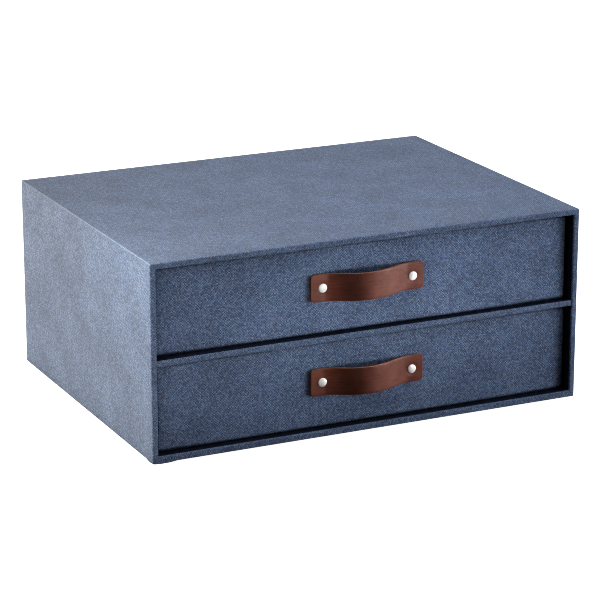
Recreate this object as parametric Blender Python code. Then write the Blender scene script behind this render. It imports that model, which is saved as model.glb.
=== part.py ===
"""Two-drawer desktop document box: grey board wrapped in woven canvas, with
a leather strap handle riveted to each drawer.

Units are metres, +Z is up and the drawers open towards -Y.  The origin is the
centre of the underside of the base sheet, which the box stands on.
"""

import math

import bmesh
import bpy
from mathutils import Matrix, Vector

# ------------------------------------------------------------------ dimensions
MM = 0.001

# outer case
CASE_WIDTH = 330.0 * MM
CASE_DEPTH = 249.0 * MM
CASE_HEIGHT = 140.6 * MM      # of the canvas wrap alone
CLEARANCE = 0.3 * MM          # between any two touching pieces
CANVAS = 0.5 * MM             # book cloth thickness
PAPER = 0.4 * MM              # lining paper thickness
CASE_BOARD = 2.6 * MM         # grey board of the top, sides, back and divider
BOTTOM_BOARD = 3.2 * MM       # the bottom board is a little thicker
CASE_EDGE_RADIUS = 0.8 * MM   # outer edges of the wrapped case
FRONT_INNER_RADIUS = 0.9 * MM # edge where the canvas turns into the bays
FRONT_TURN_IN = 1.5 * MM      # canvas seen inside the bays; the lining covers the rest
BACK_TURN_OVER = 15.0 * MM    # canvas folded over the back board
BASE_SHEET_THICKNESS = 0.5 * MM
BASE_SHEET_INSET = 3.5 * MM
BACK_SHEET_INSET = 3.0 * MM
DIVIDER_RECESS = 0.3 * MM     # divider's front behind the frame's front
LOWER_BAY_HEIGHT = 63.8 * MM

# drawers
DRAWER_WIDTH = 318.0 * MM
DRAWER_HEIGHT = 61.4 * MM
DRAWER_RECESS = 6.0 * MM      # drawer front behind the frame's front
DRAWER_BACK_GAP = 0.4 * MM    # drawer back to bay lining when pushed home
DRAWER_BOARD = 2.2 * MM
DRAWER_EDGE_RADIUS = 2.0 * MM
DRAWER_TURN_IN = 15.0 * MM    # canvas folded down inside the rim
DRAWER_TURN_UNDER = 12.0 * MM # canvas folded under the floor

# strap handle and its rivets
HANDLE_CENTRE_X = -1.35 * MM  # the handles sit a little left of centre
DRAWER_SHIFT = {"lower": -0.4 * MM, "upper": -1.1 * MM}  # pushed home off centre
HANDLE_ABOVE_DRAWER = 33.6 * MM
STRAP_LENGTH = 87.5 * MM      # straight across, end to end
STRAP_HEIGHT = 19.8 * MM
STRAP_THICKNESS = 2.0 * MM
STRAP_BOW = 10.3 * MM         # how far the middle stands off
STRAP_BOW_POWER = 1.6         # below 2 makes the bow fuller
STRAP_BOW_SKEW = 0.5          # above 0 moves the crest to the left
STRAP_CLAMPED = 3.0 * MM      # held flat on each side of a rivet
STRAP_CORNER = 3.0 * MM
STRAP_STATIONS = 22           # along the bow
RIVET_SPACING = 69.6 * MM
RIVET_SHANK_RADIUS = 1.5 * MM
RIVET_HOLE_RADIUS = 1.8 * MM
RIVET_HEAD_RADIUS = 3.4 * MM
RIVET_HEAD_HEIGHT = 1.5 * MM
WASHER_RADIUS = 4.0 * MM
WASHER_THICKNESS = 0.8 * MM
RIVET_SIDES = 20

ARC_STEPS = 3                 # facets in each rounded edge
CASE_BOARD_CHAMFER = 0.3 * MM
DRAWER_BOARD_CHAMFER = 0.9 * MM

# ------------------------------------------------------------ derived positions
CASE_BOTTOM_Z = BASE_SHEET_THICKNESS + CLEARANCE
CASE_TOP_Z = CASE_BOTTOM_Z + CASE_HEIGHT
FRONT_Y = -CASE_DEPTH / 2
BACK_Y = CASE_DEPTH / 2
SKIN = CANVAS + CLEARANCE                 # cloth and the gap behind it
WALL = SKIN + CASE_BOARD + SKIN           # a whole wrapped wall
FLOOR_WALL = SKIN + BOTTOM_BOARD + SKIN
LOWER_FLOOR_Z = CASE_BOTTOM_Z + FLOOR_WALL
DIVIDER_BOTTOM_Z = LOWER_FLOOR_Z + LOWER_BAY_HEIGHT
DIVIDER_TOP_Z = DIVIDER_BOTTOM_Z + WALL
BAY_HALF_WIDTH = CASE_WIDTH / 2 - WALL
BOARD_HALF_WIDTH = CASE_WIDTH / 2 - SKIN
SIDE_INNER_X = BOARD_HALF_WIDTH - CASE_BOARD
BACK_BOARD_FRONT_Y = BACK_Y - SKIN - CASE_BOARD
LINING_BACK_Y = BACK_BOARD_FRONT_Y - CLEARANCE
LINING_FRONT_Y = FRONT_Y + FRONT_TURN_IN + CLEARANCE
DRAWER_FRONT_Y = FRONT_Y + DRAWER_RECESS
DRAWER_BACK_Y = LINING_BACK_Y - PAPER - DRAWER_BACK_GAP
DRAWER_MID_Y = (DRAWER_FRONT_Y + DRAWER_BACK_Y) / 2
DRAWER_DEPTH = DRAWER_BACK_Y - DRAWER_FRONT_Y
DRAWER_WALL = SKIN + DRAWER_BOARD + SKIN
LOWER_DRAWER_Z = LOWER_FLOOR_Z + CLEARANCE
UPPER_DRAWER_Z = DIVIDER_TOP_Z + CLEARANCE

CANVAS_COLOUR = (0.075, 0.120, 0.215)
BOARD_COLOUR = (0.36, 0.34, 0.31)
LINING_COLOUR = (0.045, 0.065, 0.110)
LEATHER_COLOUR = (0.110, 0.036, 0.026)
RIVET_COLOUR = (0.86, 0.84, 0.79)


# --------------------------------------------------------------------- helpers
def clear_scene():
    for obj in list(bpy.data.objects):
        bpy.data.objects.remove(obj, do_unlink=True)


def finish(obj, colour, roughness, metallic=0.0):
    material = bpy.data.materials.new(obj.name + "_finish")
    material.use_nodes = True
    shader = material.node_tree.nodes["Principled BSDF"]
    shader.inputs["Base Color"].default_value = (*colour, 1.0)
    shader.inputs["Roughness"].default_value = roughness
    shader.inputs["Metallic"].default_value = metallic
    obj.data.materials.clear()
    obj.data.materials.append(material)
    return obj


def object_from_bmesh(name, mesh_data, origin=(0.0, 0.0, 0.0), parent=None):
    """Makes an object whose own origin is at the given world point."""
    bmesh.ops.recalc_face_normals(mesh_data, faces=mesh_data.faces[:])
    bmesh.ops.translate(mesh_data, verts=mesh_data.verts[:], vec=-Vector(origin))
    mesh = bpy.data.meshes.new(name)
    mesh_data.to_mesh(mesh)
    mesh_data.free()
    obj = bpy.data.objects.new(name, mesh)
    bpy.context.collection.objects.link(obj)
    if parent is None:
        obj.location = origin
    else:
        obj.parent = parent
        obj.location = Vector(origin) - parent.location
    return obj


def box(name, x0, x1, y0, y1, z0, z1, chamfer=0.0, origin=None, parent=None):
    """A board or sheet between the given planes, with its edges eased."""
    data = bmesh.new()
    bmesh.ops.create_cube(data, size=1.0)
    bmesh.ops.scale(data, vec=(x1 - x0, y1 - y0, z1 - z0), verts=data.verts[:])
    centre = Vector(((x0 + x1) / 2, (y0 + y1) / 2, (z0 + z1) / 2))
    bmesh.ops.translate(data, vec=centre, verts=data.verts[:])
    obj = object_from_bmesh(name, data, origin or centre, parent)
    if chamfer:
        bevel = obj.modifiers.new("eased_edges", "BEVEL")
        bevel.width = chamfer
        bevel.segments = 1
        bevel.limit_method = "NONE"
    return obj


def arc(centre_a, centre_b, radius, start, stop, steps=ARC_STEPS):
    """Points (a, b) on an arc; the angles are in degrees."""
    points = []
    for i in range(steps + 1):
        t = math.radians(start + (stop - start) * i / steps)
        points.append((centre_a + radius * math.cos(t), centre_b + radius * math.sin(t)))
    return points


def rounded_rectangle(u0, u1, v0, v1, radius, steps=ARC_STEPS):
    """The corner points of a rounded rectangle, anticlockwise in (u, v)."""
    ring = []
    for cu, cv, start in (
        (u1 - radius, v1 - radius, 0),
        (u0 + radius, v1 - radius, 90),
        (u0 + radius, v0 + radius, 180),
        (u1 - radius, v0 + radius, 270),
    ):
        ring += arc(cu, cv, radius, start, start + 90, steps)
    return ring


def ring_sweep(name, profile, place, origin=None, parent=None):
    """Sweeps a closed profile round a rounded rectangle.

    profile holds a list of stations; place(station) gives the ring of world
    points of that station.  Neighbouring rings are joined by quads and the
    last ring joins the first, which makes one closed body.
    """
    data = bmesh.new()
    rings = [[data.verts.new(p) for p in place(station)] for station in profile]
    count = len(rings[0])
    for i, ring in enumerate(rings):
        after = rings[(i + 1) % len(rings)]
        for j in range(count):
            k = (j + 1) % count
            data.faces.new((ring[j], ring[k], after[k], after[j]))
    return object_from_bmesh(name, data, origin or (0, 0, 0), parent)


def tray(name, x0, x1, y0, y1, z0, z1, wall, open_side, origin=None, parent=None):
    """A thin five-sided lining, open at the front ('-Y') or the top ('+Z')."""
    data = bmesh.new()
    if open_side == "-Y":
        inner = (x0 + wall, x1 - wall, y0, y1 - wall, z0 + wall, z1 - wall)
    else:
        inner = (x0 + wall, x1 - wall, y0 + wall, y1 - wall, z0 + wall, z1)

    def corners(a0, a1, b0, b1, c0, c1):
        """Four corners at the open side, then four at the closed end."""
        if open_side == "-Y":
            return [data.verts.new(p) for p in (
                (a0, b0, c0), (a1, b0, c0), (a1, b0, c1), (a0, b0, c1),
                (a0, b1, c0), (a1, b1, c0), (a1, b1, c1), (a0, b1, c1))]
        return [data.verts.new(p) for p in (
            (a0, b0, c1), (a1, b0, c1), (a1, b1, c1), (a0, b1, c1),
            (a0, b0, c0), (a1, b0, c0), (a1, b1, c0), (a0, b1, c0))]

    outer_v = corners(x0, x1, y0, y1, z0, z1)
    inner_v = corners(*inner)
    for shell in (outer_v, inner_v):
        data.faces.new(shell[4:])
        for i in range(4):
            j = (i + 1) % 4
            data.faces.new((shell[i], shell[j], shell[4 + j], shell[4 + i]))
    for i in range(4):
        j = (i + 1) % 4
        data.faces.new((outer_v[i], outer_v[j], inner_v[j], inner_v[i]))
    return object_from_bmesh(name, data, origin or (0, 0, 0), parent)


def lathe_along_y(name, profile, x, y, z, origin=None, parent=None):
    """Turns (radius, distance in front of y) points about an axis along Y.

    A profile that starts and ends on the axis gives a solid piece; any other
    closed profile gives a ring.
    """
    data = bmesh.new()
    rings = []
    for radius, ahead in profile:
        if radius < 1e-9:
            rings.append([data.verts.new((x, y - ahead, z))])
            continue
        rings.append([
            data.verts.new((
                x + radius * math.cos(2 * math.pi * i / RIVET_SIDES),
                y - ahead,
                z + radius * math.sin(2 * math.pi * i / RIVET_SIDES),
            ))
            for i in range(RIVET_SIDES)
        ])
    solid = len(rings[0]) == 1 and len(rings[-1]) == 1
    pairs = list(zip(rings, rings[1:])) if solid else list(zip(rings, rings[1:] + rings[:1]))
    for first, second in pairs:
        for i in range(RIVET_SIDES):
            j = (i + 1) % RIVET_SIDES
            if len(first) == 1:
                data.faces.new((first[0], second[i], second[j]))
            elif len(second) == 1:
                data.faces.new((first[i], second[0], first[j]))
            else:
                data.faces.new((first[i], second[i], second[j], first[j]))
    obj = object_from_bmesh(name, data, origin or (x, y, z), parent)
    obj.data.shade_smooth()
    obj.data.set_sharp_from_angle(angle=math.radians(40))
    return obj


def hole_cutter(name, x, y0, y1, z, radius, parent):
    """A cylinder along Y that bores a rivet hole."""
    data = bmesh.new()
    bmesh.ops.create_cone(
        data, cap_ends=True, segments=RIVET_SIDES,
        radius1=radius, radius2=radius, depth=y1 - y0,
        matrix=Matrix.Translation((x, (y0 + y1) / 2, z)) @ Matrix.Rotation(math.pi / 2, 4, "X"),
    )
    cutter = object_from_bmesh(name, data, (x, (y0 + y1) / 2, z), parent)
    cutter.hide_render = True
    cutter.display_type = "WIRE"
    return cutter


def bore(obj, cutters):
    for cutter in cutters:
        cut = obj.modifiers.new("bore_" + cutter.name, "BOOLEAN")
        cut.operation = "DIFFERENCE"
        cut.solver = "EXACT"
        cut.object = cutter


# ------------------------------------------------------------------ outer case
def case_wrap_profile():
    """Stations (inset, y, inner) of the canvas round a wall, front to back.

    inset is the distance in from the case's outer faces.  inner marks the
    stations that lie inside the board, where the floor's turn-in sits deeper
    by the extra thickness of the bottom board.
    """
    r, ri, c = CASE_EDGE_RADIUS, FRONT_INNER_RADIUS, CANVAS
    deep = WALL
    turn = FRONT_Y + FRONT_TURN_IN
    points = []
    # outer face of the cloth: round the front edge and into the bay
    points += [(a, b, 0) for a, b in arc(r, FRONT_Y + r, r, 180, 270)]
    points += [(a, b, 1) for a, b in arc(deep - ri, FRONT_Y + ri, ri, 270, 360)]
    points += [(deep, turn, 1), (deep - c, turn, 1)]
    # hidden face of the cloth, back along the board to the rear
    points += [(a, b, 1) for a, b in arc(deep - ri, FRONT_Y + ri, ri - c, 360, 270)]
    points += [(a, b, 0) for a, b in arc(r, FRONT_Y + r, r - c, 270, 180)]
    points += [(a, b, 0) for a, b in arc(r, BACK_Y - r, r - c, 180, 90)]
    points += [(BACK_TURN_OVER, BACK_Y - c, 0), (BACK_TURN_OVER, BACK_Y, 0)]
    points += [(a, b, 0) for a, b in arc(r, BACK_Y - r, r, 90, 180)]
    return points


def build_case():
    half = CASE_WIDTH / 2

    def wrap_ring(station):
        inset, y, inner = station
        radius = max(CASE_EDGE_RADIUS - inset, 0.4 * MM)
        extra = (BOTTOM_BOARD - CASE_BOARD) * inner
        ring = rounded_rectangle(
            -half + inset, half - inset,
            CASE_BOTTOM_Z + inset + extra, CASE_TOP_Z - inset, radius)
        return [(u, y, v) for u, v in ring]

    wrap = ring_sweep("case_wrap_cloth", case_wrap_profile(), wrap_ring)
    finish(wrap, CANVAS_COLOUR, 0.85)

    y0, y1 = FRONT_Y + SKIN, BACK_Y - SKIN
    top_z0 = CASE_TOP_Z - SKIN - CASE_BOARD
    floor_z1 = CASE_BOTTOM_Z + SKIN + BOTTOM_BOARD
    side_z0, side_z1 = floor_z1 + CLEARANCE, top_z0 - CLEARANCE
    chamfer = CASE_BOARD_CHAMFER
    boards = [
        box("case_top_board", -BOARD_HALF_WIDTH, BOARD_HALF_WIDTH, y0, y1,
            top_z0, CASE_TOP_Z - SKIN, chamfer),
        box("case_bottom_board", -BOARD_HALF_WIDTH, BOARD_HALF_WIDTH, y0, y1,
            CASE_BOTTOM_Z + SKIN, floor_z1, chamfer),
        box("case_left_board", -BOARD_HALF_WIDTH, -SIDE_INNER_X, y0, y1,
            side_z0, side_z1, chamfer),
        box("case_right_board", SIDE_INNER_X, BOARD_HALF_WIDTH, y0, y1,
            side_z0, side_z1, chamfer),
        box("case_back_board", -SIDE_INNER_X + CLEARANCE, SIDE_INNER_X - CLEARANCE,
            BACK_BOARD_FRONT_Y, y1, side_z0, side_z1, chamfer),
        box("divider_board", -BAY_HALF_WIDTH + CLEARANCE, BAY_HALF_WIDTH - CLEARANCE,
            FRONT_Y + DIVIDER_RECESS + SKIN, BACK_BOARD_FRONT_Y - CLEARANCE,
            DIVIDER_BOTTOM_Z + SKIN, DIVIDER_TOP_Z - SKIN, chamfer),
    ]
    for board in boards:
        finish(board, BOARD_COLOUR, 0.9)

    # canvas folded round the divider's front edge: an open U, extruded along X
    front = FRONT_Y + DIVIDER_RECESS
    ro = FRONT_INNER_RADIUS
    outline = []
    outline += arc(front + ro, DIVIDER_BOTTOM_Z + ro, ro, 270, 180)
    outline += arc(front + ro, DIVIDER_TOP_Z - ro, ro, 180, 90)
    outline += [(FRONT_Y + FRONT_TURN_IN, DIVIDER_TOP_Z),
                (FRONT_Y + FRONT_TURN_IN, DIVIDER_TOP_Z - CANVAS)]
    outline += arc(front + ro, DIVIDER_TOP_Z - ro, ro - CANVAS, 90, 180)
    outline += arc(front + ro, DIVIDER_BOTTOM_Z + ro, ro - CANVAS, 180, 270)
    outline += [(FRONT_Y + FRONT_TURN_IN, DIVIDER_BOTTOM_Z + CANVAS),
                (FRONT_Y + FRONT_TURN_IN, DIVIDER_BOTTOM_Z)]
    data = bmesh.new()
    half_cloth = BAY_HALF_WIDTH - CLEARANCE
    left = [data.verts.new((-half_cloth, y, z)) for y, z in outline]
    face = data.faces.new(left)
    grown = bmesh.ops.extrude_face_region(data, geom=[face])
    moved = [v for v in grown["geom"] if isinstance(v, bmesh.types.BMVert)]
    bmesh.ops.translate(data, verts=moved, vec=(2 * half_cloth, 0, 0))
    divider_cloth = object_from_bmesh(
        "divider_cloth", data, (0, front, (DIVIDER_BOTTOM_Z + DIVIDER_TOP_Z) / 2))
    finish(divider_cloth, CANVAS_COLOUR, 0.85)

    lining_x = BAY_HALF_WIDTH + CANVAS
    for name, z0, z1 in (
        ("lower_bay_lining", floor_z1 + CLEARANCE, DIVIDER_BOTTOM_Z + CANVAS),
        ("upper_bay_lining", DIVIDER_TOP_Z - CANVAS, top_z0 - CLEARANCE),
    ):
        lining = tray(name, -lining_x, lining_x, LINING_FRONT_Y, LINING_BACK_Y,
                      z0, z1, PAPER, "-Y")
        finish(lining, LINING_COLOUR, 0.9)

    base = box("case_base_sheet",
               -half + BASE_SHEET_INSET, half - BASE_SHEET_INSET,
               FRONT_Y + BASE_SHEET_INSET, BACK_Y - BASE_SHEET_INSET,
               0.0, BASE_SHEET_THICKNESS)
    finish(base, LINING_COLOUR, 0.9)
    back = box("case_back_cloth",
               -half + BACK_SHEET_INSET, half - BACK_SHEET_INSET,
               BACK_Y + CLEARANCE, BACK_Y + CLEARANCE + CANVAS,
               CASE_BOTTOM_Z + BACK_SHEET_INSET, CASE_TOP_Z - BACK_SHEET_INSET)
    finish(back, CANVAS_COLOUR, 0.85)


# --------------------------------------------------------------------- drawers
def drawer_wrap_profile():
    """Stations (inset, height) of the canvas round a drawer's four walls."""
    r, ri, c = DRAWER_EDGE_RADIUS, FRONT_INNER_RADIUS, CANVAS
    top, deep = DRAWER_HEIGHT, DRAWER_WALL
    points = []
    points += [(DRAWER_TURN_UNDER, 0.0)]
    points += arc(r, r, r, 270, 180)
    points += arc(r, top - r, r, 180, 90)
    points += arc(deep - ri, top - ri, ri, 90, 0)
    points += [(deep, top - DRAWER_TURN_IN), (deep - c, top - DRAWER_TURN_IN)]
    points += arc(deep - ri, top - ri, ri - c, 0, 90)
    points += arc(r, top - r, r - c, 90, 180)
    points += arc(r, r, r - c, 180, 270)
    points += [(DRAWER_TURN_UNDER, c)]
    # the arcs over the rim may meet in one point
    return [p for i, p in enumerate(points)
            if math.dist(p, points[i - 1]) > 1e-6]


def strap_centre_line():
    """Points (x from the strap's middle, stand-off of its hidden face)."""
    half_span = RIVET_SPACING / 2 - STRAP_CLAMPED
    half_length = STRAP_LENGTH / 2
    points = []
    for i in range(ARC_STEPS + 1):     # rounded corners at the left end
        t = math.radians(90.0 * i / ARC_STEPS)
        points.append((-half_length + STRAP_CORNER * (1 - math.cos(t)), 0.0))
    for i in range(STRAP_STATIONS + 1):
        share = i / STRAP_STATIONS
        skewed = share + STRAP_BOW_SKEW * share * (1 - share) ** 3
        lift = STRAP_BOW * max(math.sin(math.pi * skewed), 0.0) ** STRAP_BOW_POWER
        points.append((-half_span + 2 * half_span * share, lift))
    for i in range(ARC_STEPS, -1, -1):
        t = math.radians(90.0 * i / ARC_STEPS)
        points.append((half_length - STRAP_CORNER * (1 - math.cos(t)), 0.0))
    return points


def build_strap(name, centre_x, face_y, centre_z, parent):
    """A flat leather strip, fixed at both rivets and bowed out between them."""
    line = strap_centre_line()
    half_length = STRAP_LENGTH / 2
    data = bmesh.new()
    rings = []
    for i, (x, lift) in enumerate(line):
        before, after = line[max(i - 1, 0)], line[min(i + 1, len(line) - 1)]
        along = Vector((after[0] - before[0], after[1] - before[1])).normalized()
        out = Vector((-along.y, along.x)) * STRAP_THICKNESS
        from_end = half_length - abs(x)
        half_height = STRAP_HEIGHT / 2
        if from_end < STRAP_CORNER - 1e-9:
            inner = STRAP_CORNER - from_end
            half_height += math.sqrt(max(STRAP_CORNER ** 2 - inner ** 2, 0)) - STRAP_CORNER
        base = Vector((x, lift + CLEARANCE))
        ring = []
        for point, side in ((base, -1), (base, 1), (base + out, 1), (base + out, -1)):
            ring.append(data.verts.new((
                centre_x + point.x, face_y - point.y, centre_z + side * half_height)))
        rings.append(ring)
    for first, second in zip(rings, rings[1:]):
        for i in range(4):
            j = (i + 1) % 4
            data.faces.new((first[i], first[j], second[j], second[i]))
    data.faces.new(rings[0])
    data.faces.new(rings[-1])
    return object_from_bmesh(name, data, (centre_x, face_y, centre_z), parent)


def build_drawer(prefix, z0):
    """One drawer; its parent empty stands on the line the drawer slides along.

    The pieces are laid out about x = 0, then the empty takes the drawer to
    where it sits in its bay.
    """
    half = DRAWER_WIDTH / 2
    handle_x = HANDLE_CENTRE_X - DRAWER_SHIFT[prefix]
    slide = bpy.data.objects.new(prefix + "_drawer", None)
    bpy.context.collection.objects.link(slide)
    slide.empty_display_size = 0.02
    slide.location = (0.0, DRAWER_MID_Y, z0 + DRAWER_HEIGHT / 2)
    anchor = tuple(slide.location)

    def wrap_ring(station):
        inset, height = station
        radius = max(DRAWER_EDGE_RADIUS - inset, 0.4 * MM)
        ring = rounded_rectangle(
            -half + inset, half - inset,
            DRAWER_FRONT_Y + inset, DRAWER_BACK_Y - inset, radius)
        return [(u, v, z0 + height) for u, v in ring]

    wrap = ring_sweep(prefix + "_wrap_cloth", drawer_wrap_profile(), wrap_ring,
                      anchor, slide)
    finish(wrap, CANVAS_COLOUR, 0.85)

    x1 = half - SKIN
    y0, y1 = DRAWER_FRONT_Y + SKIN, DRAWER_BACK_Y - SKIN
    floor_top = z0 + SKIN + DRAWER_BOARD
    wall_z0, wall_z1 = floor_top + CLEARANCE, z0 + DRAWER_HEIGHT - SKIN
    side_y0 = y0 + DRAWER_BOARD + CLEARANCE
    side_y1 = y1 - DRAWER_BOARD - CLEARANCE
    chamfer = DRAWER_BOARD_CHAMFER
    front_board = box(prefix + "_front_board", -x1, x1, y0, y0 + DRAWER_BOARD,
                      wall_z0, wall_z1, chamfer, parent=slide)
    boards = [
        front_board,
        box(prefix + "_back_board", -x1, x1, y1 - DRAWER_BOARD, y1,
            wall_z0, wall_z1, chamfer, parent=slide),
        box(prefix + "_left_board", -x1, -x1 + DRAWER_BOARD, side_y0, side_y1,
            wall_z0, wall_z1, chamfer, parent=slide),
        box(prefix + "_right_board", x1 - DRAWER_BOARD, x1, side_y0, side_y1,
            wall_z0, wall_z1, chamfer, parent=slide),
        box(prefix + "_floor_board", -x1, x1, y0, y1,
            z0 + SKIN, floor_top, chamfer, parent=slide),
    ]
    for board in boards:
        finish(board, BOARD_COLOUR, 0.9)

    inset = SKIN + DRAWER_BOARD + CLEARANCE
    lining = tray(prefix + "_lining", -half + inset, half - inset,
                  DRAWER_FRONT_Y + inset, DRAWER_BACK_Y - inset,
                  floor_top + CLEARANCE,
                  z0 + DRAWER_HEIGHT - DRAWER_TURN_IN - CLEARANCE,
                  PAPER, "+Z", anchor, slide)
    finish(lining, LINING_COLOUR, 0.9)
    under = DRAWER_TURN_UNDER + CLEARANCE
    underside = box(prefix + "_underside_sheet", -half + under, half - under,
                    DRAWER_FRONT_Y + under, DRAWER_BACK_Y - under,
                    z0, z0 + PAPER, parent=slide)
    finish(underside, LINING_COLOUR, 0.9)

    # handle
    handle_z = z0 + HANDLE_ABOVE_DRAWER
    strap = build_strap(prefix + "_handle_strap", handle_x, DRAWER_FRONT_Y, handle_z, slide)
    finish(strap, LEATHER_COLOUR, 0.55)

    head_under = CLEARANCE + STRAP_THICKNESS + CLEARANCE
    lining_face = inset + PAPER
    washer_front = lining_face + CLEARANCE
    tail = washer_front + WASHER_THICKNESS + CLEARANCE
    rs, rh, h = RIVET_SHANK_RADIUS, RIVET_HEAD_RADIUS, RIVET_HEAD_HEIGHT
    rivet_profile = [
        (0.0, head_under + h),
        (0.36 * rh, head_under + 0.95 * h),
        (0.66 * rh, head_under + 0.77 * h),
        (0.87 * rh, head_under + 0.50 * h),
        (0.98 * rh, head_under + 0.22 * h),
        (rh, head_under + 0.08 * h),
        (0.97 * rh, head_under),
        (rs, head_under),
        (rs, -tail),
        (1.6 * rs, -tail),
        (1.6 * rs, -tail - 0.3 * MM),
        (1.0 * rs, -tail - 0.7 * MM),
        (0.0, -tail - 0.8 * MM),
    ]
    washer_profile = [
        (RIVET_HOLE_RADIUS, -washer_front),
        (WASHER_RADIUS, -washer_front),
        (WASHER_RADIUS, -washer_front - 0.5 * WASHER_THICKNESS),
        (WASHER_RADIUS - 0.4 * MM, -washer_front - WASHER_THICKNESS),
        (RIVET_HOLE_RADIUS, -washer_front - WASHER_THICKNESS),
    ]
    cutters = []
    for side, sign in (("left", -1), ("right", 1)):
        x = handle_x + sign * RIVET_SPACING / 2
        rivet = lathe_along_y(f"{prefix}_rivet_{side}", rivet_profile,
                              x, DRAWER_FRONT_Y, handle_z, parent=slide)
        finish(rivet, RIVET_COLOUR, 0.25, 1.0)
        washer = lathe_along_y(f"{prefix}_rivet_washer_{side}", washer_profile,
                               x, DRAWER_FRONT_Y, handle_z, parent=slide)
        finish(washer, RIVET_COLOUR, 0.3, 1.0)
        cutters.append(hole_cutter(
            f"{prefix}_hole_{side}", x, DRAWER_FRONT_Y - 8 * MM,
            DRAWER_FRONT_Y + 8 * MM, handle_z, RIVET_HOLE_RADIUS, slide))
    for bored in (strap, wrap, front_board, lining):
        bore(bored, cutters)
    slide.location.x = DRAWER_SHIFT[prefix]


clear_scene()
build_case()
build_drawer("lower", LOWER_DRAWER_Z)
build_drawer("upper", UPPER_DRAWER_Z)
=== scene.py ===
"""Looks of the two-drawer document box: woven book cloth over board, leather
strap handles and domed rivets, in soft studio light.

Mesh work is in millimetres and is scaled to metres when a mesh is made.
"""

import math

import bmesh
import bpy
from mathutils import Matrix, Vector, noise


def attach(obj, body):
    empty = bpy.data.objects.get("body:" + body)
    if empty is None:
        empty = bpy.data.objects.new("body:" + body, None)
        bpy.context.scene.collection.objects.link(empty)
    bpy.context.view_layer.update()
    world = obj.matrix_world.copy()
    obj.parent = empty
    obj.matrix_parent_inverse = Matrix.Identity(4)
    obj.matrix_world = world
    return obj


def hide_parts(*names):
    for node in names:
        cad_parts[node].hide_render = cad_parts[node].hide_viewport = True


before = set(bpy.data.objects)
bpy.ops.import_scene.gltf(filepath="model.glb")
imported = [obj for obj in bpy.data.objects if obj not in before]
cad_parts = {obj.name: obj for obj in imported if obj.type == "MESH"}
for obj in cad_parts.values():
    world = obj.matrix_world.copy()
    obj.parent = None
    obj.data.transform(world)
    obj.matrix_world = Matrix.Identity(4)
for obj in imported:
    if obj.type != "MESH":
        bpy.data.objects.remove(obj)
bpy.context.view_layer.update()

MM = 0.001

# ------------------------------------------------- sizes, as in the CAD, in mm
CASE_W, CASE_H = 330.0, 140.6
CASE_Z0 = 0.8
CASE_Z1 = CASE_Z0 + CASE_H
FRONT, BACK = -124.5, 124.5
WALL, SKIN, CANVAS = 4.2, 0.8, 0.5
EXTRA_FLOOR = 0.6
CASE_R, INNER_R = 0.8, 0.9
TURN_IN, BACK_TURN = 1.5, 15.0
DIVIDER_Z0, DIVIDER_Z1 = 69.4, 73.6
DIVIDER_FRONT = -124.2
BAY_X = 160.8

DRAWER_W, DRAWER_H = 318.0, 61.4
DRAWER_FRONT, DRAWER_BACK = -118.5, 120.0
DRAWER_R = 2.0
DRAWER_WALL = 3.8
DRAWER_TURN, DRAWER_UNDER = 15.0, 12.0
DRAWER_Z = {"lower": 5.9, "upper": 73.9}
DRAWER_X = {"lower": -0.4, "upper": -1.1}

HANDLE_X, HANDLE_UP = -1.35, 33.6
STRAP_L, STRAP_H, STRAP_T = 87.5, 19.8, 2.0
STRAP_BOW, BOW_POWER, BOW_SKEW = 10.3, 1.6, 0.5
STRAP_CLAMPED, STRAP_CORNER = 3.0, 3.0
RIVETS_APART = 69.6
GAP = 0.3


# ------------------------------------------------------------------ mesh tools
def to_object(name, data, body, smooth=38.0, subdivide=0):
    bmesh.ops.recalc_face_normals(data, faces=data.faces[:])
    bmesh.ops.scale(data, vec=(MM, MM, MM), verts=data.verts[:])
    mesh = bpy.data.meshes.new(name)
    data.to_mesh(mesh)
    data.free()
    obj = bpy.data.objects.new(name, mesh)
    bpy.context.collection.objects.link(obj)
    mesh.shade_smooth()
    mesh.set_sharp_from_angle(angle=math.radians(smooth))
    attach(obj, body)
    return obj


def lerp(a, b, t):
    return a + (b - a) * t


def smooth_step(a, b, x):
    t = min(max((x - a) / (b - a), 0.0), 1.0)
    return t * t * (3 - 2 * t)


def arc(ca, cb, radius, start, stop, steps):
    return [(ca + radius * math.cos(math.radians(lerp(start, stop, i / steps))),
             cb + radius * math.sin(math.radians(lerp(start, stop, i / steps))))
            for i in range(steps + 1)]


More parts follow.
